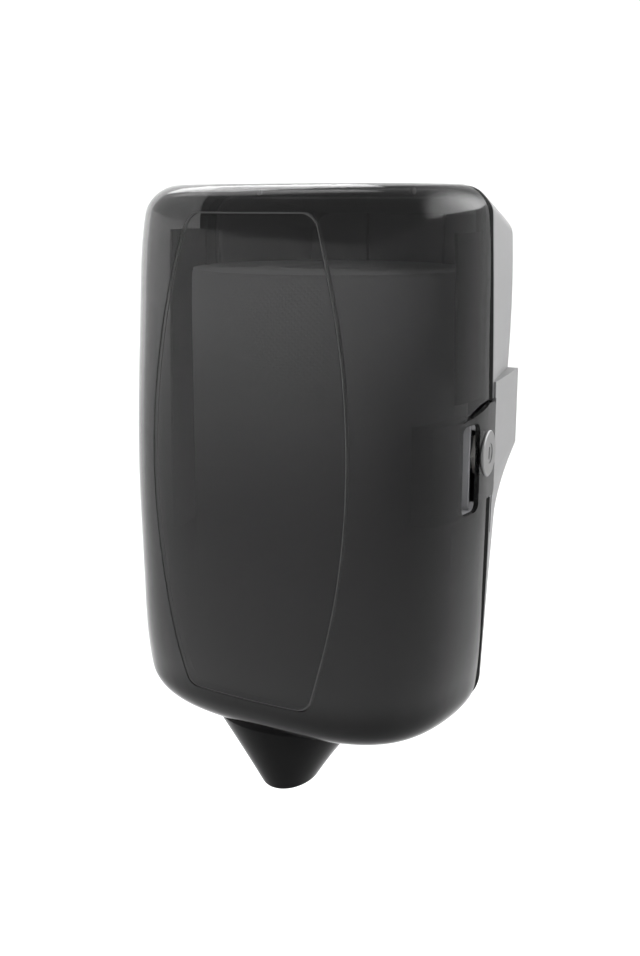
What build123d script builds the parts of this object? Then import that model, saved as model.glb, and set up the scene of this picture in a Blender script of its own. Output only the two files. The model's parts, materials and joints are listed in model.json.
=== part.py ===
"""Centre-pull wipe dispenser for a wall: smoke cover, light grey back plate, roll shelf and spout.

The wall is the plane y = 0, the front faces -Y and +Z is up. The origin is on the back of the
plate, in the middle of the four wall screws. All sizes are in millimetres.
"""

import os
from math import cos, radians, sin, sqrt, tan

from build123d import *

os.makedirs("parts", exist_ok=True)

# Cover, outside. In plan it is a full rounded front, then sides that taper in to the seam.
seam_y = -82.9
round_y = -96.75
cover_half = 90.3
cover_front = 74.3
plan_fullness = 0.763
side_slope = tan(radians(8.66))
cover_top = 150.3
cover_bottom = -122.0
cover_wall = 2.5
side_drop = side_slope * (seam_y - round_y) / 2

# The cover is a little barrel shaped, with a small radius at the top and a larger one below.
barrel_height = 138.5
narrow_top = 3.5
narrow_bottom = 5.0
retreat_top = 10.3
retreat_bottom = 9.0
top_radius = 15.6
bottom_radius = 24.7
least_radius = 3.0

# Bowed line round the front panel, cut into the cover.
panel_top = 137.2
panel_bottom = -98.0
panel_end_half = 34.8
panel_mid_half = 54.9
panel_corner = 6.0
groove_width = 0.9
groove_depth = 0.5

# Lock tab, finger recess and the black slit above it, on the right side of the cover.
tab_back_y = -69.5
tab_low, tab_high = -1.5, 45.8
tab_corner = 3.0
recess_front_y, recess_back_y = -113.0, -95.0
recess_low, recess_high = -5.0, 38.5
recess_corner = 4.0
recess_side_gap = 1.0
slit_tip = (-113.5, 40.5)
slit_over = (-98.0, 46.4)
slit_under = (-98.0, 42.6)
slit_high = 48.2
slit_low = 45.2

# Finger pocket behind the recess. It follows the inside of the cover.
pocket_front_y, pocket_back_y = -132.0, -95.0
pocket_low, pocket_high = -6.7, 40.2
pocket_gap = 0.1
pocket_depth = 9.5
pocket_wall = 1.5
pocket_ribs = (11.2, 29.5)
pocket_rib_back_y = -115.0
pocket_rib_thickness = 1.2

# Cam lock in the tab, square to the tapered side. Depths run inward from the outside face.
lock_y, lock_z = -82.0, 21.2
disc_radius = 11.5
disc_proud = 0.8
disc_sink = 1.2
disc_edge = 0.5
boss_radius = 12.3
boss_depth = 3.4
barrel_radius = 8.0
barrel_end = 8.7
washer_thickness = 0.6
nut_radius = 10.8
nut_height = 2.0
plug_radius = 5.0
plug_sink = 0.3
keyway_width = 1.7
keyway_length = 6.6
keyway_depth = 3.0
cam_gap = 0.2
cam_thickness = 2.0
cam_half_width = 5.0
cam_reach = 22.0
cam_round = 3.0
cam_square = 6.0
cam_screw_radius = 1.4
cam_head_radius = 4.2
cam_screw_length = 5.0
fit_gap = 0.05

# Keeper that the cam turns behind.
keeper_metal = 1.4
keeper_x = 74.6
keeper_hook_x = 81.0
keeper_front_y = -91.5
keeper_hook_low = 34.0
keeper_low, keeper_high = 45.3, 50.5
keeper_foot_y = (-51.0, -38.0)
keeper_foot_low = 38.0
keeper_screw_y = -44.5
keeper_screw_z = (41.2, 47.4)
keeper_screw_length = 3.6

# Inner frame: the black band in the seam, with a guard on each side of the roll.
seam_gap = 0.3
band_depth = 8.4
band_inset = 0.5
band_width = 5.2
band_back_y = seam_y + seam_gap + band_depth
notch_gap = 1.2
guard_front_y = -111.0
guard_back_y = -80.0
guard_inset = 4.3
guard_thickness = 1.6
guard_top = 128.0
guard_low = -34.5
guard_low_back = -24.0
guard_sweep = (-93.5, -32.5)
guard_gap_half = 60.0
guard_gap_low, guard_gap_high = -12.0, 48.6
frame_screw_points = [
    (45.0, 147.1),
    (-45.0, 147.1),
    (83.6, -70.0),
    (-83.6, -70.0),
    (58.0, -118.9),
    (-58.0, -118.9),
]
frame_head_recess = 4.4
frame_screw_length = 6.4

# Back plate: a rim behind the band and a tray that narrows to the wall.
rim_depth = 3.4
rim_inset = 0.9
rim_width = 6.0
rim_back_y = band_back_y + rim_depth
plate_wall = 2.6
wall_half = 64.0
wall_low_half = 54.0
wall_bend_z = 57.0
wall_top, wall_bottom = 138.0, -112.0
wall_top_radius, wall_low_radius = 16.0, 22.0
cheek_rim = [(60.0, -26.0), (86.6, -22.0), (87.2, 8.0), (87.2, 55.0), (60.0, 55.0)]
cheek_wall = [(45.0, -16.0), (61.6, -11.0), (70.0, 12.0), (70.0, 53.0), (45.0, 53.0)]
tab_notch_x = 79.6
tab_notch_back_y = -69.0
screw_spacing_x = 90.0
screw_spacing_z = 180.0
screw_hole_radius = 2.75
screw_boss_radius = 8.0
screw_boss_height = 2.0
rib_half = 1.0
rib_height = 3.0
rib_x = 24.0
rib_z = (60.0, -30.0)
ledge_x = 33.0
ledge_front_y, ledge_back_y = -68.0, -8.0
keeper_pad_x = 76.0
keeper_pad_drill = 2.6

# Cover hinge below the seam, with two short pins.
hinge_y, hinge_z = -79.0, -126.5
hinge_pin_radius = 2.0
hinge_gap = 0.06
knuckle_radius = 3.8
knuckle_x = 38.0
knuckle_half = 4.6
ear_radius = 4.1
ear_thickness = 4.0
ear_gap = 0.4
ear_back_y = -62.0
pin_head_radius = 3.2
pin_head_height = 1.2

# Roll, and the shelf under it.
roll_y = -84.5
roll_radius = 71.5
roll_bore = 20.0
roll_bottom, roll_top = -99.3, 110.0
roll_edge = 1.2
shelf_top = -99.6
shelf_floor = -107.0
shelf_wall = 2.5
shelf_draft = 0.7
shelf_back_half, shelf_half = 40.0, 77.0
shelf_back_y, shelf_side_y, shelf_round_y, shelf_front_y = -3.0, -80.0, -100.0, -156.0
shelf_hole_radius = 25.0
shelf_hole_y = (-88.0, -118.0)
shelf_slot = 10.0
shelf_slot_x = 4.0
shelf_tab_half = 30.0
shelf_tab_top = -84.0
shelf_screw_x = 22.0
shelf_screw_z = -91.5
shelf_screw_length = 4.6

# Small screws, all of one pattern.
small_screw_radius = 1.2
small_head_radius = 1.9
small_head_height = 1.4
small_slot = 0.6

# Spout in the bottom of the cover, with a finned orifice inside.
spout_y = -126.5
spout_top = -110.0
spout_shoulder = -119.0
spout_radius = 37.5
spout_waist = 25.4
spout_tip_radius = 15.5
spout_tip = -153.1
spout_steps = (0.0, 0.25, 0.5, 0.75, 1.0, 1.2)
spout_widening = 0.067
spout_flattening = 0.2
spout_tip_tilt = 18.0
spout_tip_edge = 0.5
spout_wall = 2.0
spout_gap = 0.3
flange_reach = 7.0
flange_top = -107.5
flange_inset = 2.6
flange_thickness = 1.8
peg_radius = 1.5
peg_top = -115.6
peg_reach = 3.2
peg_angles = (0.0, 58.0, 122.0, 180.0)
clip_radius = 2.9
clip_low, clip_high = -117.5, -116.5
orifice_top = -137.0
orifice_floor = -146.5
orifice_wall = 1.5
orifice_hole = 5.0
orifice_fin_reach = 9.0
orifice_slot = 1.2
orifice_slots = 6

far = 200.0


def facing(y):
    """Upright plane across the dispenser at depth y, seen from the front."""
    return Plane.XZ.offset(-y)


def beside(x):
    """Upright plane at x, seen from the right. Its first axis runs back to the wall."""
    return Plane.YZ.offset(x)


def block(low, high):
    """Box between two opposite corners."""
    size = [b - a for a, b in zip(low, high)]
    middle = tuple((a + b) / 2 for a, b in zip(low, high))
    with BuildPart() as box:
        with Locations(middle):
            Box(*size)
    return box.part


def barrel(z, at_top, at_bottom):
    """How much the barrel shape takes off a size at height z."""
    return (at_top if z > 0 else at_bottom) * (z / barrel_height) ** 2


def corner_radii(inset):
    """Top and bottom radius of the cover's form drawn in by inset."""
    return max(top_radius - inset, least_radius), max(bottom_radius - inset, least_radius)


def corner_inset(z, inset):
    """How far the rounded top or bottom draws the wall in at height z."""
    top_r, low_r = corner_radii(inset)
    above = z - (cover_top - inset - top_r)
    below = (cover_bottom + inset + low_r) - z
    if above > 0:
        return top_r - sqrt(max(top_r**2 - above**2, 0))
    if below > 0:
        return low_r - sqrt(max(low_r**2 - below**2, 0))
    return 0.0


def station_heights(inset):
    """Heights of the cover's sections, close together round the corners."""
    top_r, low_r = corner_radii(inset)
    high = cover_top - inset - top_r
    low = cover_bottom + inset + low_r
    top = [high + top_r * sin(radians(a)) for a in (90, 70, 50, 30, 14)]
    middle = [high, 90.0, 40.0, 0.0, -50.0]
    bottom = [low - low_r * sin(radians(a)) for a in (0, 16, 34, 52, 70, 90)]
    return top + middle + bottom


def cover_section(z, inset, back_y):
    """Plan of the cover at height z, drawn in by inset, with its sides run back to back_y."""
    drawn = inset + corner_inset(z, inset)
    half = cover_half - barrel(z, narrow_top, narrow_bottom) - drawn
    front = cover_front - barrel(z, retreat_top, retreat_bottom) - drawn
    full = plan_fullness
    seam_half = half - side_drop
    back_half = seam_half - side_slope * (back_y - seam_y)
    halfway = (round_y + seam_y) / 2
    with BuildSketch(Plane.XY.offset(z)) as section:
        with BuildLine():
            Bezier(
                (0, round_y - front),
                (full * half, round_y - front),
                (half, round_y - full * front),
                (half, round_y),
            )
            Bezier((half, round_y), (half, halfway), (seam_half, seam_y))
            Line((seam_half, seam_y), (back_half, back_y))
            Line((back_half, back_y), (0, back_y))
            mirror(about=Plane.YZ)
        make_face()
    return section.sketch.face()


def cover_form(inset, back_y=seam_y + band_depth):
    """The cover's outer form drawn in by inset, as one solid."""
    with BuildPart() as form:
        loft(sections=[cover_section(z, inset, back_y) for z in station_heights(inset)])
    return form.part


def outline_face(y, half_at, top, bottom, top_r, low_r):
    """Rounded upright face at depth y. Its half width at height z is half_at(z)."""
    high, low = top - top_r, bottom + low_r
    turns = [radians(a) for a in (90, 60, 30, 0)]
    upper = []
    for turn in turns:
        z = high + top_r * sin(turn)
        upper.append((half_at(z) - top_r * (1 - cos(turn)), z))
    side = [(half_at(z), z) for z in (high, wall_bend_z, 0.0, -50.0, low)]
    lower = []
    for turn in reversed(turns):
        z = low - low_r * sin(turn)
        lower.append((half_at(z) - low_r * (1 - cos(turn)), z))
    with BuildSketch(facing(y)) as outline:
        with BuildLine():
            Line((0, top), upper[0])
            Spline(*upper, tangents=[(1, 0), (0, -1)])
            Spline(*side)
            Spline(*lower, tangents=[(0, -1), (-1, 0)])
            Line(lower[-1], (0, bottom))
            mirror(about=Plane.YZ)
        make_face()
    return outline.sketch.face()


def rim_face(y, inset):
    """The outline of the cover's seam at depth y, drawn in by inset."""
    taken = side_drop + side_slope * (y - seam_y) + inset
    return outline_face(
        y,
        lambda z: cover_half - barrel(z, narrow_top, narrow_bottom) - taken,
        cover_top - inset,
        cover_bottom + inset,
        top_radius - inset,
        bottom_radius - inset,
    )


def wall_face(inset):
    """The outline of the tray on the wall, drawn in by inset on every side."""
    narrowing = (wall_half - wall_low_half) / (wall_bend_z - wall_bottom)
    return outline_face(
        -inset,
        lambda z: wall_half - narrowing * max(wall_bend_z - z, 0) - inset,
        wall_top - inset,
        wall_bottom + inset,
        wall_top_radius - inset,
        wall_low_radius - inset,
    )


def cheek_face(y, points, side, inset):
    """One end of a side block, as a face at depth y drawn in by inset."""
    with BuildSketch(facing(y)) as cheek:
        with BuildLine():
            Polyline([(side * x, z) for x, z in points], close=True)
        make_face()
        if inset:
            offset(amount=-inset, kind=Kind.INTERSECTION)
    return cheek.sketch.face()


def tray_form(inset):
    """The tray behind the rim with both side blocks, drawn in by inset on every side but the front."""
    with BuildPart() as tray:
        loft(sections=[rim_face(rim_back_y, rim_inset + inset), wall_face(inset)], ruled=True)
        for side in (-1, 1):
            ends = [cheek_face(rim_back_y, cheek_rim, side, inset), cheek_face(-inset, cheek_wall, side, inset)]
            loft(sections=ends, ruled=True)
    return tray.part


def fasteners(plane, points, shank, head_radius=small_head_radius, radius=small_screw_radius):
    """Slotted screws with their heads on a plane and their shanks behind it."""
    with BuildPart() as screws:
        with BuildSketch(plane):
            with Locations(*points):
                Circle(head_radius)
        extrude(amount=small_head_height)
        with BuildSketch(plane.offset(small_head_height)):
            with Locations(*points):
                Rectangle(3 * head_radius, small_slot)
        extrude(amount=-small_slot, mode=Mode.SUBTRACT)
        with BuildSketch(plane):
            with Locations(*points):
                Circle(radius)
        extrude(amount=-shank)
    return screws.part


def drilled(plane, points, radius, depth):
    """Plain round cutters that run in from a plane."""
    with BuildPart() as holes:
        with BuildSketch(plane):
            with Locations(*points):
                Circle(radius)
        extrude(amount=-depth)
    return holes.part


def panel_face(grow):
    """The bowed front panel's outline, grown by grow."""
    with BuildSketch(facing(round_y)) as panel:
        with BuildLine():
            right_top, right_low = (panel_end_half, panel_top), (panel_end_half, panel_bottom)
            bulge = (panel_mid_half, (panel_top + panel_bottom) / 2)
            Line((0, panel_top), right_top)
            ThreePointArc(right_top, bulge, right_low)
            Line(right_low, (0, panel_bottom))
            mirror(about=Plane.YZ)
        make_face()
        fillet(panel.vertices().filter_by(lambda v: abs(v.X) > least_radius), panel_corner)
        offset(amount=grow)
    return panel.sketch.face()


def panel_groove():
    """Cutter for the line round the front panel."""
    with BuildPart() as groove:
        extrude(panel_face(groove_width / 2), amount=far)
        extrude(panel_face(-groove_width / 2), amount=far, mode=Mode.SUBTRACT)
        add(cover_form(groove_depth), mode=Mode.SUBTRACT)
    return groove.part


def slit_cutter():
    """Cutter for the curved black slit above the finger recess."""
    with BuildPart() as slit:
        with BuildSketch(beside(cover_half - pocket_depth)):
            with BuildLine():
                ThreePointArc((seam_y + 1, slit_high), slit_over, slit_tip)
                ThreePointArc(slit_tip, slit_under, (seam_y + 1, slit_low))
                Line((seam_y + 1, slit_low), (seam_y + 1, slit_high))
            make_face()
        extrude(amount=2 * pocket_depth)
    return slit.part


def recess_cutter(depth):
    """Cutter for the finger recess, from depth inside the side out through it."""
    with BuildPart() as recess:
        with BuildSketch(beside(cover_half - depth)):
            with Locations(((recess_front_y + recess_back_y) / 2, (recess_low + recess_high) / 2)):
                RectangleRounded(recess_back_y - recess_front_y, recess_high - recess_low, recess_corner)
        extrude(amount=2 * depth)
    return recess.part


def behind_seam():
    """Everything behind the seam except the lock tab."""
    with BuildPart() as rest:
        with BuildSketch(beside(0)):
            with Locations((seam_y + far / 2, 0)):
                Rectangle(far, 2 * far)
            with Locations(((recess_back_y + tab_back_y) / 2, (tab_low + tab_high) / 2)):
                RectangleRounded(tab_back_y - recess_back_y, tab_high - tab_low, tab_corner, mode=Mode.SUBTRACT)
        extrude(amount=far)
        add(block((-far, seam_y, -far), (0, seam_y + far, far)))
    return rest.part


def knuckle_face(x, radius, arm):
    """Side view of a hinge knuckle with its arm, with the hole for the pin."""
    with BuildSketch(beside(x)) as knuckle:
        with Locations((hinge_y, hinge_z)):
            Circle(radius)
        with BuildLine():
            Polyline(arm, close=True)
        make_face()
        with Locations((hinge_y, hinge_z)):
            Circle(hinge_pin_radius + hinge_gap, mode=Mode.SUBTRACT)
    return knuckle.sketch.face()


def pocket_room():
    """The hollow of the finger pocket, with its two ribs left standing."""
    low = (0, pocket_front_y + pocket_wall, pocket_low + pocket_wall)
    high = (far, pocket_back_y - pocket_wall, pocket_high - pocket_wall)
    with BuildPart() as room:
        add(cover_form(cover_wall + pocket_gap + pocket_wall))
        add(block(low, high), mode=Mode.INTERSECT)
        add(cover_form(cover_wall + pocket_depth - pocket_wall), mode=Mode.SUBTRACT)
        for z in pocket_ribs:
            half = pocket_rib_thickness / 2
            add(block((0, -far, z - half), (far, pocket_rib_back_y, z + half)), mode=Mode.SUBTRACT)
    return room.part


def side_guards():
    """Thin guards beside the roll that follow the inside of the cover."""
    with BuildPart() as guards:
        add(cover_form(guard_inset, guard_back_y))
        add(cover_form(guard_inset + guard_thickness, guard_back_y + guard_thickness), mode=Mode.SUBTRACT)
        with BuildSketch(beside(0)):
            with BuildLine():
                Polyline(
                    (guard_front_y, guard_low),
                    (guard_front_y, guard_top),
                    (guard_back_y, guard_top),
                    (guard_back_y, guard_low_back),
                )
                ThreePointArc((guard_back_y, guard_low_back), guard_sweep, (guard_front_y, guard_low))
            make_face()
        extrude(amount=far, both=True, mode=Mode.INTERSECT)
        add(block((-guard_gap_half, -far, guard_top - far), (guard_gap_half, 0, far)), mode=Mode.SUBTRACT)
        add(block((0, -far, guard_gap_low), (far, 0, guard_gap_high)), mode=Mode.SUBTRACT)
    return guards.part


def plate_insides():
    """Bosses, ribs, ledges and the keeper's pad, before they are trimmed to the tray."""
    with BuildPart() as insides:
        with BuildSketch(facing(0)):
            with Locations(*screw_points):
                Circle(screw_boss_radius)
        extrude(amount=plate_wall + screw_boss_height)
        for x in (-rib_x, rib_x):
            add(block((x - rib_half, -plate_wall - rib_height, shelf_tab_top + rib_half), (x + rib_half, 0, far)))
        for z in rib_z:
            add(block((-far, -plate_wall - rib_height, z - rib_half), (far, 0, z + rib_half)))
        for x in (-ledge_x, ledge_x):
            add(block((x - rib_half, ledge_front_y, -far), (x + rib_half, ledge_back_y, shelf_top - shelf_wall)))
        add(block((keeper_pad_x, keeper_foot_y[0], keeper_foot_low), (far, keeper_foot_y[1], keeper_high)))
        add(tray_form(0), mode=Mode.INTERSECT)
    return insides.part


def shelf_face(z, inset):
    """Plan of the roll shelf at height z, drawn in by inset."""
    full = plan_fullness
    back_y = shelf_back_y - inset
    back_x, side_x = shelf_back_half - inset, shelf_half - inset
    front_y = shelf_front_y + inset
    turn_y = shelf_round_y + full * (front_y - shelf_round_y)
    with BuildSketch(Plane.XY.offset(z)) as plan:
        with BuildLine():
            Line((0, back_y), (back_x, back_y))
            Line((back_x, back_y), (side_x, shelf_side_y))
            Line((side_x, shelf_side_y), (side_x, shelf_round_y))
            Bezier((side_x, shelf_round_y), (side_x, turn_y), (full * side_x, front_y), (0, front_y))
            mirror(about=Plane.YZ)
        make_face()
    return plan.sketch.face()


def spout_half_sizes(share):
    """Half width and half depth of the spout at a share of the way down to its tip."""
    left = 1 - share
    radius = left**2 * spout_radius + 2 * share * left * spout_waist + share**2 * spout_tip_radius
    return radius * (1 + spout_widening * left), radius * (1 - spout_flattening * left)


def spout_section(share, grow):
    """Oval section of the spout at a share of the way down to its tip, grown by grow."""
    half_x, half_y = spout_half_sizes(share)
    z = spout_shoulder + share * (spout_tip - spout_shoulder)
    with BuildSketch(Plane.XY.offset(z)) as section:
        with Locations((0, spout_y)):
            Ellipse(half_x + grow, half_y + grow)
    return section.sketch.face()


def spout_form(grow, top):
    """The spout's outer form grown by grow: a straight collar up to top, then a flared cone."""
    with BuildPart() as form:
        extrude(spout_section(0, grow), amount=top - spout_shoulder)
        loft(sections=[spout_section(share, grow) for share in spout_steps])
    return form.part


def oval_column(grow):
    """Upright cutter with the oval section of the spout's collar, grown by grow."""
    with BuildPart() as column:
        extrude(spout_section(0, grow), amount=flange_top - spout_shoulder)
        extrude(spout_section(0, grow), amount=2 * (cover_bottom - spout_shoulder))
    return column.part


lock_x = cover_half - barrel(lock_z, narrow_top, narrow_bottom) - side_drop - side_slope * (lock_y - seam_y)
lock_turn = radians(8.66)
lock_plane = Plane(
    origin=(lock_x, lock_y, lock_z),
    x_dir=(-sin(lock_turn), cos(lock_turn), 0),
    z_dir=(cos(lock_turn), sin(lock_turn), 0),
)
collar_half_x, collar_half_y = spout_half_sizes(0)
peg_points = [
    ((collar_half_x + peg_reach) * cos(radians(a)), spout_y + (collar_half_y + peg_reach) * sin(radians(a)))
    for a in peg_angles
]
screw_points = [(sx * screw_spacing_x / 2, sz * screw_spacing_z / 2) for sx in (-1, 1) for sz in (-1, 1)]
shelf_screw_points = [(-shelf_screw_x, shelf_screw_z), (shelf_screw_x, shelf_screw_z)]
keeper_screw_points = [(keeper_screw_y, z) for z in keeper_screw_z]

# Front cover with its panel line, recess, slit, lock tab, spout hole and hinge knuckles.
lug_arm = [
    (hinge_y, hinge_z - knuckle_radius),
    (hinge_y - 9, hinge_z - 3),
    (hinge_y - 21, cover_bottom + 1),
    (seam_y - 0.5, cover_bottom + 1),
    (hinge_y - 2, hinge_z + 3),
]
with BuildPart() as front_cover:
    add(cover_form(0, tab_back_y))
    add(cover_form(cover_wall, tab_back_y + cover_wall), mode=Mode.SUBTRACT)
    add(behind_seam(), mode=Mode.SUBTRACT)
    add(panel_groove(), mode=Mode.SUBTRACT)
    add(recess_cutter(pocket_depth), mode=Mode.SUBTRACT)
    add(slit_cutter(), mode=Mode.SUBTRACT)
    with BuildSketch(lock_plane.offset(-boss_depth)):
        Circle(boss_radius)
    extrude(amount=boss_depth - disc_sink - fit_gap)
    add(
        drilled(lock_plane.offset(disc_proud), [(0, 0)], disc_radius + fit_gap, disc_proud + disc_sink),
        mode=Mode.SUBTRACT,
    )
    add(drilled(lock_plane, [(0, 0)], barrel_radius + fit_gap, barrel_end), mode=Mode.SUBTRACT)
    add(oval_column(spout_gap), mode=Mode.SUBTRACT)
    with BuildSketch(Plane.XY.offset(cover_bottom + 1)):
        with Locations(*peg_points):
            Circle(peg_radius)
    extrude(amount=peg_top - cover_bottom - 1)
    for side in (-1, 1):
        extrude(knuckle_face(side * knuckle_x, knuckle_radius, lug_arm), amount=knuckle_half, both=True)
front_cover.part.label = "front_cover"
export_step(front_cover.part, "parts/front_cover.step")

# Finger pocket: a closed box behind the recess, with two thin ribs in its covered part.
with BuildPart() as finger_pocket:
    add(cover_form(cover_wall + pocket_gap))
    add(block((0, pocket_front_y, pocket_low), (far, pocket_back_y, pocket_high)), mode=Mode.INTERSECT)
    add(cover_form(cover_wall + pocket_depth), mode=Mode.SUBTRACT)
    add(pocket_room(), mode=Mode.SUBTRACT)
    add(recess_cutter(cover_wall + pocket_gap + pocket_wall + recess_side_gap), mode=Mode.SUBTRACT)
finger_pocket.part.label = "finger_pocket"
export_step(finger_pocket.part, "parts/finger_pocket.step")

# Spout: collar through the cover's bottom, cone below, and a flange that follows the inside.
with BuildPart() as spout:
    add(cover_form(flange_inset))
    add(oval_column(flange_reach), mode=Mode.INTERSECT)
    add(cover_form(flange_inset + flange_thickness), mode=Mode.SUBTRACT)
    add(drilled(Plane.XY.offset(flange_top), peg_points, peg_radius + hinge_gap, far), mode=Mode.SUBTRACT)
    add(spout_form(0, spout_top))
    add(spout_form(-spout_wall, spout_top + spout_wall), mode=Mode.SUBTRACT)
    tip_plane = Plane.XY.offset(spout_tip).move(Location((0, spout_y, 0)))
    tip_plane = tip_plane.rotated((spout_tip_tilt, 0, 0))
    split(bisect_by=tip_plane, keep=Keep.TOP)
    chamfer(spout.faces().sort_by(Axis.Z)[0].edges(), spout_tip_edge)
spout.part.label = "spout"
export_step(spout.part, "parts/spout.step")

# Push-on clips that hold the spout's flange on the cover's pegs.
with BuildPart() as spout_clips:
    with BuildSketch(Plane.XY.offset(clip_low)):
        with Locations(*peg_points):
            Circle(clip_radius)
            Circle(peg_radius + fit_gap, mode=Mode.SUBTRACT)
    extrude(amount=clip_high - clip_low)
spout_clips.part.label = "spout_clips"
export_step(spout_clips.part, "parts/spout_clips.step")

# Orifice inside the spout: a cup with a small hole and short slots that grip the wipe.
with BuildPart() as spout_orifice:
    add(spout_form(-spout_wall - fit_gap, spout_top))
    add(spout_form(-spout_wall - orifice_wall, spout_top + spout_wall), mode=Mode.SUBTRACT)
    with Locations((0, spout_y, orifice_floor + orifice_wall / 2)):
        Cylinder(spout_radius, orifice_wall)
    add(spout_form(-spout_wall - fit_gap, spout_top), mode=Mode.INTERSECT)
    split(bisect_by=Plane.XY.offset(orifice_top), keep=Keep.BOTTOM)
    split(bisect_by=Plane.XY.offset(orifice_floor), keep=Keep.TOP)
    with BuildSketch(Plane.XY.offset(orifice_floor)):
        with Locations((0, spout_y)):
            Circle(orifice_hole)
            with PolarLocations(0, orifice_slots):
                Rectangle(orifice_fin_reach, orifice_slot, align=(Align.MIN, Align.CENTER))
    extrude(amount=2 * orifice_wall, mode=Mode.SUBTRACT)
spout_orifice.part.label = "spout_orifice"
export_step(spout_orifice.part, "parts/spout_orifice.step")

# Lock housing: flanged disc outside, threaded barrel through the tab.
with BuildPart() as lock_housing:
    with BuildSketch(lock_plane.offset(-disc_sink)):
        Circle(disc_radius)
    extrude(amount=disc_sink + disc_proud)
    chamfer(lock_housing.edges().sort_by(Axis.X)[-1], disc_edge)
    with BuildSketch(lock_plane.offset(-disc_sink)):
        Circle(barrel_radius)
    extrude(amount=disc_sink - barrel_end)
    add(drilled(lock_plane.offset(disc_proud), [(0, 0)], plug_radius + fit_gap, far), mode=Mode.SUBTRACT)
lock_housing.part.label = "lock_housing"
export_step(lock_housing.part, "parts/lock_housing.step")

# Washer and nut that clamp the tab.
with BuildPart() as lock_washer:
    with BuildSketch(lock_plane.offset(-boss_depth)):
        Circle(nut_radius)
        Circle(barrel_radius + hinge_gap, mode=Mode.SUBTRACT)
    extrude(amount=-washer_thickness)
lock_washer.part.label = "lock_washer"
export_step(lock_washer.part, "parts/lock_washer.step")

with BuildPart() as lock_nut:
    with BuildSketch(lock_plane.offset(-boss_depth - washer_thickness)):
        RegularPolygon(nut_radius, 6)
        Circle(barrel_radius + fit_gap, mode=Mode.SUBTRACT)
    extrude(amount=-nut_height)
lock_nut.part.label = "lock_nut"
export_step(lock_nut.part, "parts/lock_nut.step")

# Lock plug with its keyway and the square that drives the cam.
cam_face = -barrel_end - cam_gap
with BuildPart() as lock_plug:
    with BuildSketch(lock_plane.offset(disc_proud - plug_sink)):
        Circle(plug_radius)
    extrude(amount=cam_face - disc_proud + plug_sink)
    with BuildSketch(lock_plane.offset(cam_face)):
        Rectangle(cam_square, cam_square)
    extrude(amount=-cam_thickness)
    with BuildSketch(lock_plane.offset(disc_proud - plug_sink)):
        SlotOverall(keyway_length, keyway_width, rotation=90)
    extrude(amount=-keyway_depth, mode=Mode.SUBTRACT)
    with BuildSketch(lock_plane.offset(cam_face - cam_thickness)):
        Circle(cam_screw_radius + fit_gap)
    extrude(amount=cam_screw_length, mode=Mode.SUBTRACT)
lock_plug.part.label = "lock_plug"
export_step(lock_plug.part, "parts/lock_plug.step")

# Cam, which points to the wall while the lock is open.
with BuildPart() as lock_cam:
    with BuildSketch(lock_plane.offset(cam_face)):
        Circle(cam_half_width + cam_thickness / 2)
        Rectangle(cam_reach, 2 * cam_half_width, align=(Align.MIN, Align.CENTER))
        Rectangle(cam_square + 2 * fit_gap, cam_square + 2 * fit_gap, mode=Mode.SUBTRACT)
    extrude(amount=-cam_thickness)
    cam_corners = lock_cam.edges().filter_by(lambda e: abs(e.length - cam_thickness) < fit_gap)
    fillet(cam_corners.group_by(Axis.Y)[-1], cam_round)
lock_cam.part.label = "lock_cam"
export_step(lock_cam.part, "parts/lock_cam.step")

# Screw that holds the cam on its square.
cam_back = lock_plane.from_local_coords((0, 0, cam_face - cam_thickness))
with BuildPart() as cam_screw:
    add(
        fasteners(
            Plane(origin=cam_back, x_dir=(0, 0, 1), z_dir=-lock_plane.z_dir),
            [(0, 0)],
            cam_screw_length - small_slot,
            cam_head_radius,
            cam_screw_radius,
        )
    )
cam_screw.part.label = "cam_screw"
export_step(cam_screw.part, "parts/cam_screw.step")

# Inner frame: the black band with its two guards, open at the lock tab.
with BuildPart() as inner_frame:
    extrude(rim_face(band_back_y, band_inset), amount=band_depth)
    extrude(rim_face(band_back_y, band_inset + band_width), amount=band_depth, mode=Mode.SUBTRACT)
    add(side_guards())
    notch_low = (guard_gap_half, seam_y, tab_low - notch_gap)
    add(block(notch_low, (far, band_back_y, tab_high + notch_gap)), mode=Mode.SUBTRACT)
    add(drilled(facing(seam_y), frame_screw_points, small_screw_radius + fit_gap, far), mode=Mode.SUBTRACT)
    add(
        drilled(facing(seam_y), frame_screw_points, small_head_radius + fit_gap, frame_head_recess),
        mode=Mode.SUBTRACT,
    )
inner_frame.part.label = "inner_frame"
export_step(inner_frame.part, "parts/inner_frame.step")

with BuildPart() as frame_screws:
    add(fasteners(facing(seam_y + frame_head_recess), frame_screw_points, frame_screw_length))
frame_screws.part.label = "frame_screws"
export_step(frame_screws.part, "parts/frame_screws.step")

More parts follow.
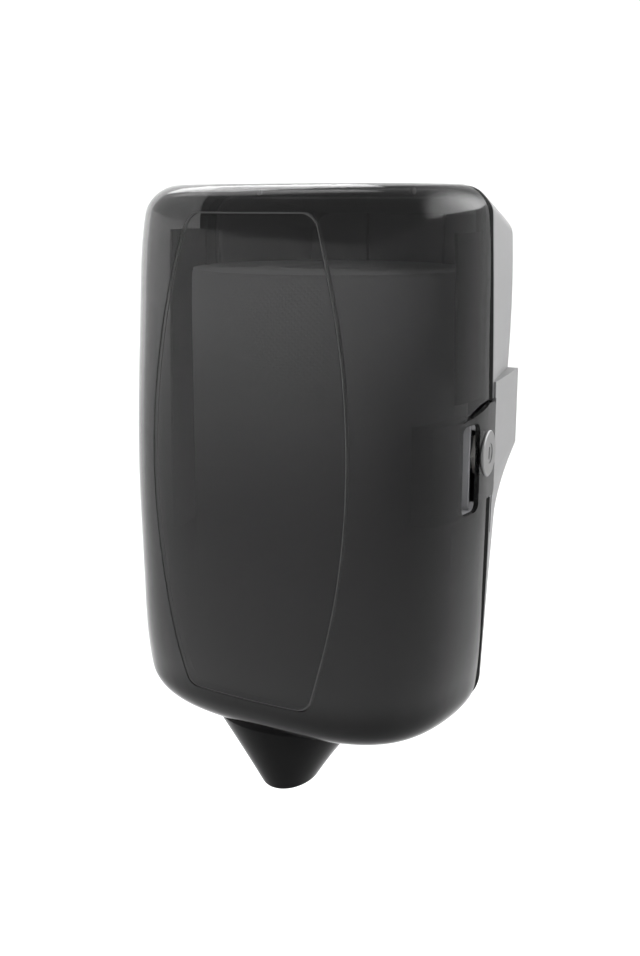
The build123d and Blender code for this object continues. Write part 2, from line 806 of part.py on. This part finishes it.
# Back plate: rim, tray, side blocks, ribs, keeper pad and hinge ears, with four wall screw holes.
ear_arm = [
    (hinge_y, hinge_z - ear_radius),
    (hinge_y, hinge_z + ear_radius),
    (band_back_y + fit_gap, cover_bottom),
    (band_back_y + fit_gap, cover_bottom + rim_width),
    (ear_back_y, cover_bottom + rim_width),
    (ear_back_y, cover_bottom + rim_inset),
    (hinge_y + 2 * ear_radius, hinge_z - ear_radius),
]
ear_x = knuckle_half + ear_gap + ear_thickness / 2
with BuildPart() as back_plate:
    add(tray_form(0))
    add(tray_form(plate_wall), mode=Mode.SUBTRACT)
    extrude(rim_face(rim_back_y, rim_inset), amount=rim_depth)
    extrude(rim_face(rim_back_y, rim_inset + rim_width), amount=rim_depth, mode=Mode.SUBTRACT)
    add(plate_insides())
    for x in (-knuckle_x - ear_x, -knuckle_x + ear_x, knuckle_x - ear_x, knuckle_x + ear_x):
        extrude(knuckle_face(x, ear_radius, ear_arm), amount=ear_thickness / 2, both=True)
    tab_notch = block((tab_notch_x, -far, tab_low - notch_gap), (far, tab_notch_back_y, tab_high + notch_gap))
    add(tab_notch, mode=Mode.SUBTRACT)
    add(drilled(facing(-plate_wall - screw_boss_height), screw_points, screw_hole_radius, far), mode=Mode.SUBTRACT)
    add(drilled(facing(-plate_wall), shelf_screw_points, small_screw_radius + fit_gap, far), mode=Mode.SUBTRACT)
    add(
        drilled(facing(-far), frame_screw_points, small_screw_radius + fit_gap, far + rim_back_y + plate_wall),
        mode=Mode.SUBTRACT,
    )
    add(
        drilled(beside(keeper_pad_x + keeper_pad_drill), keeper_screw_points, small_screw_radius + fit_gap, far),
        mode=Mode.SUBTRACT,
    )
back_plate.part.label = "back_plate"
export_step(back_plate.part, "parts/back_plate.step")

# Keeper: a steel strap on the tray's right side with a hook for the cam.
with BuildPart() as keeper:
    with BuildSketch(beside(keeper_x)):
        with BuildLine():
            Polyline(
                (keeper_front_y, keeper_hook_low),
                (keeper_front_y + keeper_metal, keeper_hook_low),
                (keeper_front_y + keeper_metal, keeper_low),
                (keeper_foot_y[0], keeper_low),
                (keeper_foot_y[0], keeper_foot_low),
                (keeper_foot_y[1], keeper_foot_low),
                (keeper_foot_y[1], keeper_high),
                (keeper_front_y, keeper_high),
                close=True,
            )
        make_face()
    extrude(amount=keeper_metal)
    hook_end = (keeper_hook_x, keeper_front_y + keeper_metal, keeper_high)
    add(block((keeper_x, keeper_front_y, keeper_hook_low), hook_end))
    add(
        drilled(beside(keeper_pad_x), keeper_screw_points, small_screw_radius + fit_gap, far),
        mode=Mode.SUBTRACT,
    )
keeper.part.label = "keeper"
export_step(keeper.part, "parts/keeper.step")

with BuildPart() as keeper_screws:
    keeper_screw_plane = Plane(origin=(keeper_x, 0, 0), x_dir=(0, -1, 0), z_dir=(-1, 0, 0))
    add(fasteners(keeper_screw_plane, [(-y, z) for y, z in keeper_screw_points], keeper_screw_length))
keeper_screws.part.label = "keeper_screws"
export_step(keeper_screws.part, "parts/keeper_screws.step")

# Hinge pins, pushed in from the outer ears.
pin_start = knuckle_x - knuckle_half - ear_gap - ear_thickness
pin_end = knuckle_x + knuckle_half + ear_gap + ear_thickness
with BuildPart() as hinge_pin_right:
    with BuildSketch(beside(pin_start)):
        with Locations((hinge_y, hinge_z)):
            Circle(hinge_pin_radius)
    extrude(amount=pin_end - pin_start)
    with BuildSketch(beside(pin_end)):
        with Locations((hinge_y, hinge_z)):
            Circle(pin_head_radius)
    extrude(amount=pin_head_height)
hinge_pin_right.part.label = "hinge_pin_right"
export_step(hinge_pin_right.part, "parts/hinge_pin_right.step")

with BuildPart() as hinge_pin_left:
    add(hinge_pin_right.part)
    mirror(about=Plane.YZ, mode=Mode.REPLACE)
hinge_pin_left.part.label = "hinge_pin_left"
export_step(hinge_pin_left.part, "parts/hinge_pin_left.step")

# Roll shelf: plate with a drafted skirt, an oval hole, a threading slot and a tab for its screws.
with BuildPart() as roll_shelf:
    loft(sections=[shelf_face(shelf_top, 0), shelf_face(shelf_floor, shelf_draft)])
    loft(
        sections=[
            shelf_face(shelf_top - shelf_wall, shelf_wall),
            shelf_face(shelf_floor - shelf_wall, shelf_wall + shelf_draft),
        ],
        mode=Mode.SUBTRACT,
    )
    with BuildSketch(Plane.XY.offset(shelf_top)):
        with Locations((0, sum(shelf_hole_y) / 2)):
            SlotCenterToCenter(shelf_hole_y[0] - shelf_hole_y[1], 2 * shelf_hole_radius, rotation=90)
        with Locations((shelf_slot_x, shelf_front_y)):
            Rectangle(shelf_slot, 2 * (shelf_hole_y[1] - shelf_front_y))
    extrude(amount=-far, mode=Mode.SUBTRACT)
    add(
        block(
            (-shelf_tab_half, -plate_wall - shelf_wall, shelf_top - shelf_wall),
            (shelf_tab_half, -plate_wall, shelf_tab_top),
        )
    )
    add(drilled(facing(-far), shelf_screw_points, small_screw_radius + fit_gap, far), mode=Mode.SUBTRACT)
roll_shelf.part.label = "roll_shelf"
export_step(roll_shelf.part, "parts/roll_shelf.step")

with BuildPart() as shelf_screws:
    add(fasteners(facing(-plate_wall - shelf_wall), shelf_screw_points, shelf_screw_length))
shelf_screws.part.label = "shelf_screws"
export_step(shelf_screws.part, "parts/shelf_screws.step")

# Coreless roll of wipes, pulled from its middle.
with BuildPart() as wipe_roll:
    with BuildSketch(Plane.XY.offset(roll_bottom)):
        with Locations((0, roll_y)):
            Circle(roll_radius)
            Circle(roll_bore, mode=Mode.SUBTRACT)
    extrude(amount=roll_top - roll_bottom)
    chamfer(wipe_roll.edges().filter_by(GeomType.CIRCLE), roll_edge)
wipe_roll.part.label = "wipe_roll"
export_step(wipe_roll.part, "parts/wipe_roll.step")
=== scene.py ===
# %% [markdown]
# # A centre-pull wipe dispenser: looks built round a imported CAD frame
#
# The object is a wall dispenser with a smoke cover that you can just see through. Inside stands a
# roll of wipes, and the free end is drawn out of the spout below. The CAD model gives every rigid
# piece its exact place, so this lesson spends its time on what makes plastic look moulded, metal
# look turned and paper look wound.
#
# We begin by loading the CAD nodes, with a helper that gives a node's box.

# %% Load the frame
import json
import math

import bmesh
import bpy
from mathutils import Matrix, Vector


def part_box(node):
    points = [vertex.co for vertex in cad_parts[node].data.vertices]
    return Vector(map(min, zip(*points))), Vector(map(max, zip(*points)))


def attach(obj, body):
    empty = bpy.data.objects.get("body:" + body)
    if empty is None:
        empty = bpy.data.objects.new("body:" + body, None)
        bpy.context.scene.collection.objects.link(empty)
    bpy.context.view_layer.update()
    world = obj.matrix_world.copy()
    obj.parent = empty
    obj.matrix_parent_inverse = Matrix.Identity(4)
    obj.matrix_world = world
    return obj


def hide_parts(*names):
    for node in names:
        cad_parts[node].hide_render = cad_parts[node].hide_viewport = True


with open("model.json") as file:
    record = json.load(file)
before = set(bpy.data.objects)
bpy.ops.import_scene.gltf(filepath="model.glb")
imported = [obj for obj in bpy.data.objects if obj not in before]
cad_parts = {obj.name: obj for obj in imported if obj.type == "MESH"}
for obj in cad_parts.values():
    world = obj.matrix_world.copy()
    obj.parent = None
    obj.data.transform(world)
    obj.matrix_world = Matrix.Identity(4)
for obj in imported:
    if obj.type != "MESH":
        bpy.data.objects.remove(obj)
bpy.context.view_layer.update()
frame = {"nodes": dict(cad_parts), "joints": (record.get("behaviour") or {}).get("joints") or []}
nodes = frame["nodes"]

# %% [markdown]
# ## The camera
#
# The picture was taken from the right of the dispenser and a little above it. A camera can be
# placed by eye, or worked out from measured outlines. Here it is worked out: the view angle, the
# distance and the focal length come from a fit of the cover's outline, and the small shift puts
# the object where it stands in the picture. The shift stays small, so other views look natural.

# %% Place the camera
PICTURE_HEIGHT = 956
azimuth, elevation = math.radians(31.91), math.radians(12.98)
target = Vector((0, -0.1138, 0))
distance = 0.6328
focal_pixels = 1234
back = Vector((
    math.sin(azimuth) * math.cos(elevation),
    -math.cos(azimuth) * math.cos(elevation),
    math.sin(elevation),
))
camera = bpy.data.objects.new("camera", bpy.data.cameras.new("camera"))
bpy.context.scene.collection.objects.link(camera)
camera.location = target + back * distance
camera.rotation_mode = "QUATERNION"
camera.rotation_quaternion = (-back).to_track_quat("-Z", "Y")
camera.data.lens = 36 * focal_pixels / PICTURE_HEIGHT
camera.data.shift_x, camera.data.shift_y = 0.0200, 0.0084
camera.data.clip_start = 0.02
bpy.context.scene.camera = camera
print("lens", round(camera.data.lens, 2), "mm, camera at", [round(v, 3) for v in camera.location])

# %% [markdown]
# ## The studio
#
# Glossy dark plastic shows very little of its own colour: what we see on it is the room. So the
# room comes before the materials. A pale sweep that turns up behind the object gives a clean
# background from every side. The air above it is white, with a broad soft glow behind the right
# side, because a curved glossy side mirrors what stands behind it. One soft panel hangs above on
# the left and makes the long highlight under the top edge.

# %% Build the sweep
def smooth_object(name, mesh):
    """An object in the scene made from an edited mesh, with all its faces smooth."""
    for face in mesh.faces:
        face.smooth = True
    data = bpy.data.meshes.new(name)
    mesh.to_mesh(data)
    mesh.free()
    made = bpy.data.objects.new(name, data)
    bpy.context.scene.collection.objects.link(made)
    return made


def sweep(size, height, turn, low):
    """A floor that curves up into a backdrop on all four sides, as one smooth bowl."""
    mesh = bmesh.new()
    rings, around = 24, 96
    flat_share, turned_share = 0.4, 0.8
    least_reach = 0.001
    points = []
    for ring in range(rings + 1):
        share = ring / rings
        if share < flat_share:
            reach, rise = size * share / flat_share, 0.0
        elif share < turned_share:
            angle = (share - flat_share) / (turned_share - flat_share) * math.pi / 2
            reach, rise = size + turn * math.sin(angle), turn * (1 - math.cos(angle))
        else:
            reach, rise = size + turn, turn + (share - turned_share) / (1 - turned_share) * height
        points.append((max(reach, least_reach), low + rise))
    grid = [
        [mesh.verts.new((r * math.cos(t), r * math.sin(t), z)) for t in
         (2 * math.pi * i / around for i in range(around))]
        for r, z in points
    ]
    for inner, outer in zip(grid, grid[1:]):
        for i in range(around):
            j = (i + 1) % around
            mesh.faces.new((inner[i], inner[j], outer[j], outer[i]))
    mesh.faces.new(grid[0])
    return smooth_object("floor", mesh)


floor = sweep(size=2.2, height=0.3, turn=1.2, low=-0.55)
paper = bpy.data.materials.new("sweep_paper")
paper.use_nodes = True
paper_shader = paper.node_tree.nodes["Principled BSDF"]
paper_shader.inputs["Base Color"].default_value = (0.93, 0.93, 0.93, 1)
paper_shader.inputs["Roughness"].default_value = 0.9
paper_shader.inputs["Specular IOR Level"].default_value = 0.1
floor.data.materials.append(paper)
print("sweep faces", len(floor.data.polygons))

# %% Hang the soft panel
def panel(name, place, aim, width, height, power):
    """A rectangular soft light at a place, turned to face a point."""
    light = bpy.data.lights.new(name, "AREA")
    light.shape, light.size, light.size_y = "RECTANGLE", width, height
    light.energy = power
    made = bpy.data.objects.new(name, light)
    made.location = place
    made.rotation_mode = "QUATERNION"
    made.rotation_quaternion = (Vector(aim) - Vector(place)).to_track_quat("-Z", "Y")
    bpy.context.scene.collection.objects.link(made)
    return made


middle = (0, -0.09, 0.0)
panel("overhead", place=(-0.95, 0.8, 1.25), aim=middle, width=0.9, height=0.7, power=17)
bpy.context.scene.view_settings.view_transform = "Standard"

# %% Light the air
def glowing_air(toward, least, most, narrow, wide):
    """White surroundings that get brighter round one direction. The limits are cosines."""
    world = bpy.data.worlds.new("studio")
    bpy.context.scene.world = world
    world.use_nodes = True
    tree = world.node_tree
    where = tree.nodes.new("ShaderNodeTexCoord")
    along = tree.nodes.new("ShaderNodeVectorMath")
    along.operation = "DOT_PRODUCT"
    along.inputs[1].default_value = Vector(toward).normalized()
    glow = tree.nodes.new("ShaderNodeMapRange")
    glow.interpolation_type = "SMOOTHSTEP"
    for name, value in {"From Min": wide, "From Max": narrow, "To Min": least, "To Max": most}.items():
        glow.inputs[name].default_value = value
    tree.links.new(where.outputs["Generated"], along.inputs[0])
    tree.links.new(along.outputs["Value"], glow.inputs["Value"])
    tree.links.new(glow.outputs["Result"], tree.nodes["Background"].inputs["Strength"])
    tree.nodes["Background"].inputs["Color"].default_value = (1, 1, 1, 1)


glowing_air(toward=(0.66, 0.72, 0.22), least=1.0, most=8.0, narrow=0.96, wide=0.66)
print("air white, with a glow behind the right side")

# %% [markdown]
# ## A small language for shader maths
#
# Every finish below is a handful of formulas: a grain is noise times a height, wear is an edge
# mask times a brighter colour. Linking Math nodes by hand hides such formulas. One small class
# wraps a socket so that `1 - mask * 0.3` adds its own nodes, and one method makes any other node
# from its type, its settings and its socket values.

# %% Wrap a socket, so that arithmetic adds nodes
class Wire:
    """An output socket that can be used in arithmetic."""

    def __init__(self, finish, socket):
        self.finish, self.socket = finish, socket

    def __add__(self, other):
        return self.finish.math("ADD", self, other)

    def __radd__(self, other):
        return self.finish.math("ADD", other, self)

    def __sub__(self, other):
        return self.finish.math("SUBTRACT", self, other)

    def __rsub__(self, other):
        return self.finish.math("SUBTRACT", other, self)

    def __mul__(self, other):
        return self.finish.math("MULTIPLY", self, other)

    def __rmul__(self, other):
        return self.finish.math("MULTIPLY", other, self)


class Finish:
    """A material that is written as formulas."""

    def __init__(self, name):
        self.material = bpy.data.materials.new(name)
        self.material.use_nodes = True
        self.tree = self.material.node_tree
        self.tree.nodes.clear()

    def feed(self, socket, value):
        if isinstance(value, Wire):
            self.tree.links.new(value.socket, socket)
        else:
            socket.default_value = value

    def node(self, kind, settings=None, sockets=None, output=0):
        made = self.tree.nodes.new(kind)
        for key, value in (settings or {}).items():
            setattr(made, key, value)
        for key, value in (sockets or {}).items():
            self.feed(made.inputs[key], value)
        return Wire(self, made.outputs[output])

    def math(self, operation, first, second=0.0):
        return self.node("ShaderNodeMath", {"operation": operation}, {0: first, 1: second})

    def place(self, stretch=(1, 1, 1)):
        """Position on the piece in metres, stretched along its axes."""
        where = self.node("ShaderNodeTexCoord", output="Object")
        return self.node("ShaderNodeVectorMath", {"operation": "MULTIPLY"}, {0: where, 1: stretch})

    def noise(self, scale, detail=2.0, stretch=(1, 1, 1)):
        sockets = {"Vector": self.place(stretch), "Scale": scale, "Detail": detail}
        return self.node("ShaderNodeTexNoise", None, sockets)

    def mix(self, factor, first, second):
        """One colour turning into another."""
        return self.node("ShaderNodeMix", {"data_type": "RGBA"}, {0: factor, 6: first, 7: second}, output=2)

    def bump(self, height, strength, depth):
        return self.node("ShaderNodeBump", None, {"Height": height, "Strength": strength, "Distance": depth})

    def surface(self, **sockets):
        """Ends the material in one glossy shader. Socket names are written with underscores."""
        named = {key.replace("_", " "): value for key, value in sockets.items()}
        shader = self.node("ShaderNodeBsdfPrincipled", None, named)
        end = self.tree.nodes.new("ShaderNodeOutputMaterial")
        self.tree.links.new(shader.socket, end.inputs["Surface"])
        return self.material


def grey(level, tint=(1.0, 1.0, 1.0)):
    """A colour from one brightness and a tint."""
    return (level * tint[0], level * tint[1], level * tint[2], 1)


SMOKE_TINT = (1, 1, 1.03)
COOL_TINT = (1, 1, 1.01)
ZINC_TINT = (1, 0.99, 0.95)
PALE_TINT = (1, 0.99, 0.96)


def dress(names, material):
    """Gives CAD nodes a material in place of their plain one."""
    for name in names:
        slots = nodes[name].data.materials
        slots.clear()
        slots.append(material)
    print(material.name, "on", ", ".join(names))


print("shader language ready")

# %% [markdown]
# ## Smoke plastic: cover, pocket and spout
#
# The cover is clear acrylic with a dark tint. It could be made with full transmission and
# absorption, which is slow and noisy in thin double walls. From a step away the eye only sees two
# things: a sharp reflection of the room, and the inside showing dimly through. So a dark shader
# with an alpha below one, under a clear glossy coat, says the same with less light to trace. On the
# cover the alpha also grows from the top of the roll down to the foot, and the coat gets thin at the
# foot, where the plastic mirrors only the ground: painted shade that makes the lower cover darker.
# Moulding leaves the surface a little wavy and the gloss a little uneven, and cleaning leaves fine
# vertical wipes.

# %% Make the smoke plastic
# Heights of painted shade: the cover's alpha grows from the roll's top down to its foot, and again over the
# cover's foot, so the cover is painted darker towards the bottom.
ROLL_TOP, ROLL_FOOT = 0.12, -0.11
FOOT_SHADE_START, FOOT_SHADE_END = -0.088, -0.114
FOOT_PAINTED_SHADE_ALPHA = 0.995
# The grey painted along the panel's groove: painted light and shade.
PAINTED_GROOVE_GREY = 0.045


def ramp(finish, value, start, end):
    """0 at start and 1 at end, with a soft turn at both."""
    limits = {"Value": value, "From Min": start, "From Max": end}
    return finish.node("ShaderNodeMapRange", {"interpolation_type": "SMOOTHSTEP"}, limits)


def smoke(name, shade, clear, painted_shade_alpha, gloss, coat, foot_shade_coat, line=None):
    """Tinted clear plastic under a glossy coat. Painted shade makes it denser from the top of the roll to
    its foot, and denser still with a thinner coat at the very foot.

    A line is a function that gives 1 in a moulded line and 0 elsewhere.
    """
    finish = Finish(name)
    height_above = finish.node("ShaderNodeSeparateXYZ", None, {0: finish.place()}, output=2)
    # Painted shade down the roll: 0 at the roll's top and 1 at its foot.
    depth = ramp(finish, height_above, start=ROLL_TOP, end=ROLL_FOOT)
    foot_painted_shade = ramp(finish, height_above, start=FOOT_SHADE_START, end=FOOT_SHADE_END)
    flow = finish.noise(scale=9.0, detail=3.0, stretch=(1.0, 1.0, 0.35))
    wiped = finish.noise(scale=260.0, stretch=(1.0, 1.0, 0.06))
    fine = finish.noise(scale=1500.0, detail=1.0)
    tone = finish.mix(flow, grey(shade * 0.85, SMOKE_TINT), grey(shade * 1.15, SMOKE_TINT))
    # Painted shade: a denser alpha lower down shows less of the lit inside, so the cover darkens towards its
    # foot.
    alpha = clear + depth * (painted_shade_alpha - clear) + foot_painted_shade * (FOOT_PAINTED_SHADE_ALPHA - painted_shade_alpha)
    if line:
        # Painted light and shade along the groove: an opaque grey line over the smoke.
        painted_groove_light = line(finish)
        tone = finish.mix(painted_groove_light, tone, grey(PAINTED_GROOVE_GREY))
        alpha = alpha + painted_groove_light * (1.0 - alpha)
    height = flow * 0.8 + wiped * 0.12 + fine * 0.04
    return finish.surface(
        Base_Color=tone,
        Roughness=gloss + 0.05 * flow + 0.05 * wiped,
        Alpha=alpha,
        Specular_IOR_Level=0.02,
        # Painted shade: the coat thins at the foot, so the foot mirrors less of the pale floor.
        Coat_Weight=coat - foot_painted_shade * (coat - foot_shade_coat),
        Coat_Roughness=gloss,
        Coat_IOR=1.49,
        Normal=finish.bump(height, strength=0.12, depth=0.002),
    )


# %% [markdown]
# The front panel is outlined by a moulded groove. An opaque grey is painted along it: painted
# light and shade that stands for what the groove's edges catch, so the line shows on every side of
# the panel. The mask below is 1 where a point lies on the outline, which is an arc on each side and a
# straight line above and below, and 0 elsewhere.

# %% Find the panel line
PANEL_TOP, PANEL_BOTTOM = 0.1372, -0.098
PANEL_END, PANEL_MIDDLE = 0.0348, 0.0549
PANEL_CORNER = 0.006
LINE_HALF, LINE_SOFT = 0.00035, 0.0002
FRONT_START, FRONT_END = -0.10, -0.105


def panel_line(finish):
    """1 on the outline of the front panel, 0 elsewhere."""
    where = finish.place()
    split = finish.node("ShaderNodeSeparateXYZ", None, {0: where})
    x, y, z = (Wire(finish, split.socket.node.outputs[i]) for i in range(3))
    half_height = (PANEL_TOP - PANEL_BOTTOM) / 2
    bow = PANEL_MIDDLE - PANEL_END
    bend = (half_height**2 + bow**2) / (2 * bow)
    above = z - (PANEL_TOP + PANEL_BOTTOM) / 2
    across = finish.math("ABSOLUTE", x)
    side = finish.math("SQRT", bend**2 - above * above) - (bend - PANEL_MIDDLE)
    past_side = across - side + PANEL_CORNER
    past_end = finish.math("ABSOLUTE", above) - half_height + PANEL_CORNER
    in_side = finish.math("MAXIMUM", past_side, 0.0)
    in_end = finish.math("MAXIMUM", past_end, 0.0)
    round_corner = finish.math("SQRT", in_side * in_side + in_end * in_end)
    inward = finish.math("MINIMUM", finish.math("MAXIMUM", past_side, past_end), 0.0)
    off_line = finish.math("ABSOLUTE", round_corner + inward - PANEL_CORNER)
    on_front = ramp(finish, y, start=FRONT_START, end=FRONT_END)
    return ramp(finish, off_line, LINE_HALF + LINE_SOFT, LINE_HALF) * on_front


# In each look, the alpha at the roll's foot and the coat at the cover's foot set the painted shade on the
# lower part.
cover_look = {"shade": 0.004, "clear": 0.54, "painted_shade_alpha": 0.98, "gloss": 0.08, "coat": 0.47, "foot_shade_coat": 0.02}
# The pocket gets a far lighter grey than the cover's smoke: painted light that lifts its recess out of its
# shade.
lit_pocket_look = {"shade": 0.30, "clear": 0.80, "painted_shade_alpha": 0.80, "gloss": 0.35, "coat": 0.4, "foot_shade_coat": 0.4}
spout_look = {"shade": 0.002, "clear": 0.99, "painted_shade_alpha": 0.99, "gloss": 0.14, "coat": 0.04, "foot_shade_coat": 0.02}
dress(["front_cover"], smoke("smoke_cover", line=panel_line, **cover_look))
dress(["finger_pocket"], smoke("smoke_pocket_painted_light", **lit_pocket_look))
dress(["spout"], smoke("smoke_spout", **spout_look))

# %% [markdown]
# ## Moulded plastics: black frame, grey plate and shelf
#
# Moulds for hidden or matt parts are spark-eroded, which leaves a fine even grain. One grain
# recipe serves all three pieces: small noise for the grain, broad noise for the slight cloudiness
# of the colour, and a roughness that follows both. Dust settles on top faces, so the normal's
# upward part lightens the shelf and the orifice a little.

# %% Make the grained plastics
def moulded(name, level, rough, grain, tint=(1, 1, 1), dust=0.0, shine=0.5):
    """Opaque moulded plastic with a spark-eroded grain and a little dust on its top faces."""
    finish = Finish(name)
    cloud = finish.noise(scale=14.0, detail=3.0)
    pits = finish.noise(scale=grain)
    normal = finish.node("ShaderNodeNewGeometry", output=1)
    up = finish.node("ShaderNodeSeparateXYZ", None, {0: normal}, output=2)
    settled = finish.node("ShaderNodeClamp", None, {0: up * dust}) * cloud
    tone = finish.mix(cloud, grey(level * 0.95, tint), grey(level * 1.05, tint))
    dusty = finish.mix(settled, tone, grey(0.5, PALE_TINT))
    return finish.surface(
        Base_Color=dusty,
        Roughness=rough + 0.10 * pits + 0.06 * cloud,
        IOR=1.5,
        Specular_IOR_Level=shine,
        Normal=finish.bump(pits, strength=0.25, depth=0.0002),
    )


dress(["inner_frame"], moulded("black_frame", level=0.003, rough=0.6, grain=2600.0, shine=0.03))
dress(["back_plate"], moulded("grey_plate", level=0.145, rough=0.42, grain=2200.0, tint=COOL_TINT))
dress(["roll_shelf"], moulded("grey_shelf", level=0.34, rough=0.45, grain=2200.0, tint=COOL_TINT, dust=0.1))
dress(["spout_orifice"], moulded("soft_orifice", level=0.02, rough=0.62, grain=3200.0, dust=0.05))

# %% [markdown]
# ## Metals: lock, keeper, pins and screws
#
# The lock's disc is a turned and plated casting, the keeper is rolled strip, and the screws are
# zinc plated. All show direction: a lathe leaves rings, a rolling mill leaves straight lines. A
# noise that is squeezed across the lines and stretched along them gives the strip. For the turned
# disc the noise is read from the distance to the lock's own axis, so its lines become rings.

# %% Make the plated and turned metals
def rolled(name, level, rough, lines, tint=(1, 1, 1)):
    """Metal with fine straight lines along its length."""
    finish = Finish(name)
    strokes = finish.noise(scale=lines, detail=3.0, stretch=(1.0, 0.04, 1.0))
    stain = finish.noise(scale=60.0)
    tone = finish.mix(stain, grey(level * 0.9, tint), grey(level * 1.05, tint))
    return finish.surface(
        Base_Color=tone,
        Metallic=1.0,
        Roughness=rough + 0.14 * strokes + 0.06 * stain,
        Normal=finish.bump(strokes, strength=0.2, depth=0.0001),
    )


def turned(name, level, rough, axis_point, axis):
    """Metal with lathe rings round an axis."""
    finish = Finish(name)
    where = finish.place()
    offset = finish.node("ShaderNodeVectorMath", {"operation": "SUBTRACT"}, {0: where, 1: axis_point})
    crossed = finish.node("ShaderNodeVectorMath", {"operation": "CROSS_PRODUCT"}, {0: offset, 1: axis})
    radius = finish.node("ShaderNodeVectorMath", {"operation": "LENGTH"}, {0: crossed}, output=1)
    rings = finish.node("ShaderNodeTexNoise", {"noise_dimensions": "1D"}, {"W": radius, "Scale": 4200.0})
    worn = finish.noise(scale=300.0, detail=3.0)
    tone = finish.mix(worn, grey(level * 0.92), grey(level * 1.04))
    return finish.surface(
        Base_Color=tone,
        Metallic=1.0,
        Roughness=rough + 0.16 * rings + 0.08 * worn,
        Normal=finish.bump(rings, strength=0.25, depth=0.00008),
    )


lock_joint = next(j for j in frame["joints"] if j["name"] == "lock_turn")
lock_point, lock_axis = tuple(lock_joint["pos_m"]), tuple(lock_joint["axis"])
dress(["lock_housing"], turned("turned_disc", 0.2, rough=0.38, axis_point=lock_point, axis=lock_axis))
dress(["lock_plug"], turned("turned_plug", 0.2, rough=0.32, axis_point=lock_point, axis=lock_axis))
dress(
    ["lock_nut", "lock_washer", "lock_cam"],
    rolled("plated_lock_parts", level=0.55, rough=0.32, lines=900.0, tint=ZINC_TINT),
)
dress(["keeper"], rolled("keeper_strip", level=0.6, rough=0.30, lines=1200.0))
dress(["hinge_pin_left", "hinge_pin_right"], rolled("hinge_wire", level=0.58, rough=0.26, lines=1500.0))
dress(
    ["cam_screw", "frame_screws", "keeper_screws", "shelf_screws", "spout_clips"],
    rolled("plated_screws", level=0.56, rough=0.28, lines=1500.0, tint=PALE_TINT),
)

# %% [markdown]
# ## The wound roll
#
# A roll of wipes is hundreds of turns of soft non-woven sheet. Modelling each turn would cost
# millions of faces, and an image would not survive a close look. The CAD solid has the right
# size, so the piece that stands for it keeps that size and adds what the eye looks for: plies
# that stand a little proud of each other on both ends, a hollow middle whose first turns have
# come loose, and a soft outer edge. The ends are made as one profile of small steps that is
# turned round the axis.

# %% Wind the roll
PLY_RISE, PLY_GAP = 0.0005, 0.0003
LOOSE_PLIES, LOOSE_SINK = 3, 0.0014
SOFT_EDGE = 0.0012
SIDE_SINK = 0.0004
SIDE_SHORT, SIDE_LONG = 0.003, 0.02


def wound_roll(name, low, high, bore, plies, around):
    """A hollow roll between two corners, with stepped plies on its ends."""
    centre = ((low.x + high.x) / 2, (low.y + high.y) / 2)
    outer = (high.x - low.x) / 2
    step = (outer - bore) / plies
    top, bottom = [], []
    for ply in range(plies):
        near, far = bore + ply * step, bore + (ply + 1) * step
        sink = PLY_RISE * math.sin(ply * 2.4) ** 2 + (LOOSE_SINK if ply < LOOSE_PLIES else 0.0)
        edge = SOFT_EDGE if ply == plies - 1 else 0.0
        for end, level, inward in ((top, high.z, -1), (bottom, low.z, 1)):
            end.append((near + 0.1 * step, level + inward * (PLY_GAP + sink)))
            end.append((near + 0.5 * step, level + inward * (sink + edge / 2)))
            end.append((far - 0.1 * step - edge, level + inward * (PLY_GAP + sink + edge / 2)))
    side = [
        (outer - SIDE_SINK, high.z - SIDE_SHORT),
        (outer, high.z - SIDE_LONG),
        (outer, low.z + SIDE_LONG),
        (outer - SIDE_SINK, low.z + SIDE_SHORT),
    ]
    profile = top + side + bottom[::-1]
    mesh = bmesh.new()
    rings = []
    for i in range(around):
        turn = 2 * math.pi * i / around
        across, along = math.cos(turn), math.sin(turn)
        rings.append([
            mesh.verts.new((centre[0] + r * across, centre[1] + r * along, z)) for r, z in profile
        ])
    for i in range(around):
        here, after = rings[i], rings[(i + 1) % around]
        for j in range(len(profile)):
            k = (j + 1) % len(profile)
            mesh.faces.new((here[j], here[k], after[k], after[j]))
    bmesh.ops.recalc_face_normals(mesh, faces=mesh.faces)
    return smooth_object(name, mesh)


roll_low, roll_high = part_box("wipe_roll")
roll = wound_roll("wound_wipes", roll_low, roll_high, bore=0.0203, plies=34, around=120)
print("roll faces", len(roll.data.polygons), "size", [round(v, 4) for v in roll.dimensions])

# %% [markdown]
# The sheet itself is embossed with small dots, and fibres cross in all directions. On the side
# wall the dots sit on a grid of angle and height. Over them lies a soft broad unevenness, because
# a wound sheet is never pulled quite evenly.

# %% Dress the roll in embossed non-woven
DOTS_PER_TURN, DOT_WAVES = 150.0, 2100.0


def non_woven(name, centre):
    """White embossed sheet wound round an upright axis."""
    finish = Finish(name)
    where = finish.node("ShaderNodeVectorMath", {"operation": "SUBTRACT"}, {0: finish.place(), 1: centre})
    split = finish.node("ShaderNodeSeparateXYZ", None, {0: where})
    x, y, z = (Wire(finish, split.socket.node.outputs[i]) for i in range(3))
    angle = finish.math("ARCTAN2", x, y)
    dots_round = finish.math("SINE", angle * DOTS_PER_TURN)
    dots_up = finish.math("SINE", z * DOT_WAVES)
    dots = finish.math("MAXIMUM", dots_round * dots_up, 0.0)
    fibre = finish.noise(scale=1400.0, detail=3.0)
    soft = finish.noise(scale=40.0)
    height = dots * 0.7 + fibre * 0.3 + soft * 0.8
    tone = finish.mix(dots * 0.2 + soft * 0.3, grey(0.56, COOL_TINT), grey(0.66, COOL_TINT))
    return finish.surface(
        Base_Color=tone,
        Roughness=0.85 + 0.1 * fibre,
        Sheen_Weight=0.2,
        Normal=finish.bump(height, strength=0.2, depth=0.0004),
    )


axis_foot = ((roll_low.x + roll_high.x) / 2, (roll_low.y + roll_high.y) / 2, 0.0)
roll.data.materials.append(non_woven("embossed_wipes", axis_foot))
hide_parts("wipe_roll")
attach(roll, "roll")
